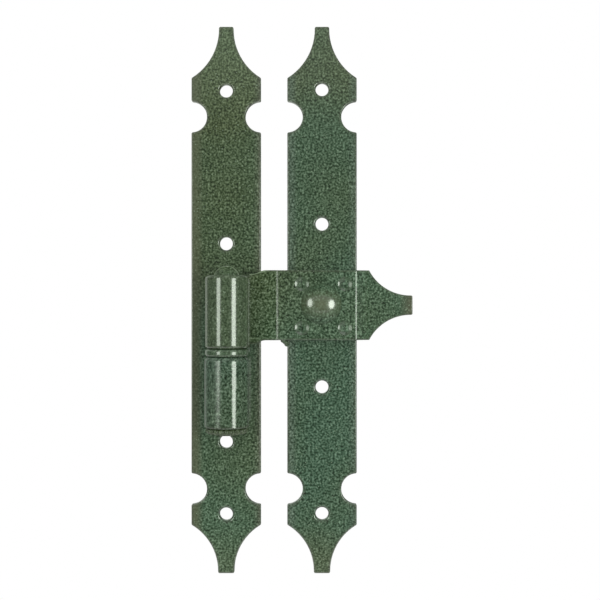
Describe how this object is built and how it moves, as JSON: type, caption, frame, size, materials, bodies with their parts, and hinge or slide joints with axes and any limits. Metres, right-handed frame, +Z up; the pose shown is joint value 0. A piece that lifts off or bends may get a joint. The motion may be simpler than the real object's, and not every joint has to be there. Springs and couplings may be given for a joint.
{
  "type": "lift-off cross hinge",
  "caption": "Ornamental lift-off cross hinge: long frame plate with pinned barrel, and long leaf plate crossed by a strap rolled into the eye.",
  "frame": {"origin": "centre of the frame plate's back face, which lies on the frame or post", "axes": "+X towards the leaf, +Y into the wall, +Z up along the pin and the plates"},
  "size_m": [0.1113, 0.025, 0.2754],
  "materials": {
    "hammered_paint": "hammered green paint, half gloss"
  },
  "bodies": {
    "frame": {"frame_plate": "hammered_paint", "pin_barrel": "hammered_paint", "hinge_pin": "hammered_paint", "pin_weld": "hammered_paint", "barrel_weld_left": "hammered_paint", "barrel_weld_right": "hammered_paint"},
    "washer": {"thrust_washer": "hammered_paint"},
    "leaf": {"hinge_strap": "hammered_paint", "leaf_plate": "hammered_paint", "centre_rivet": "hammered_paint", "corner_rivet_1": "hammered_paint", "corner_rivet_2": "hammered_paint", "corner_rivet_3": "hammered_paint", "corner_rivet_4": "hammered_paint", "tack_weld": "hammered_paint"}
  },
  "joints": [
    {"name": "swing", "type": "hinge", "parent": "frame", "child": "washer", "pos_m": [0.0012, -0.014, -0.0276], "axis": [0, 0, -1], "range_deg": [0, 180]},
    {"name": "lift_off", "type": "slide", "parent": "washer", "child": "leaf", "axis": [0, 0, 1], "range_m": [0, 0.044]}
  ]
}
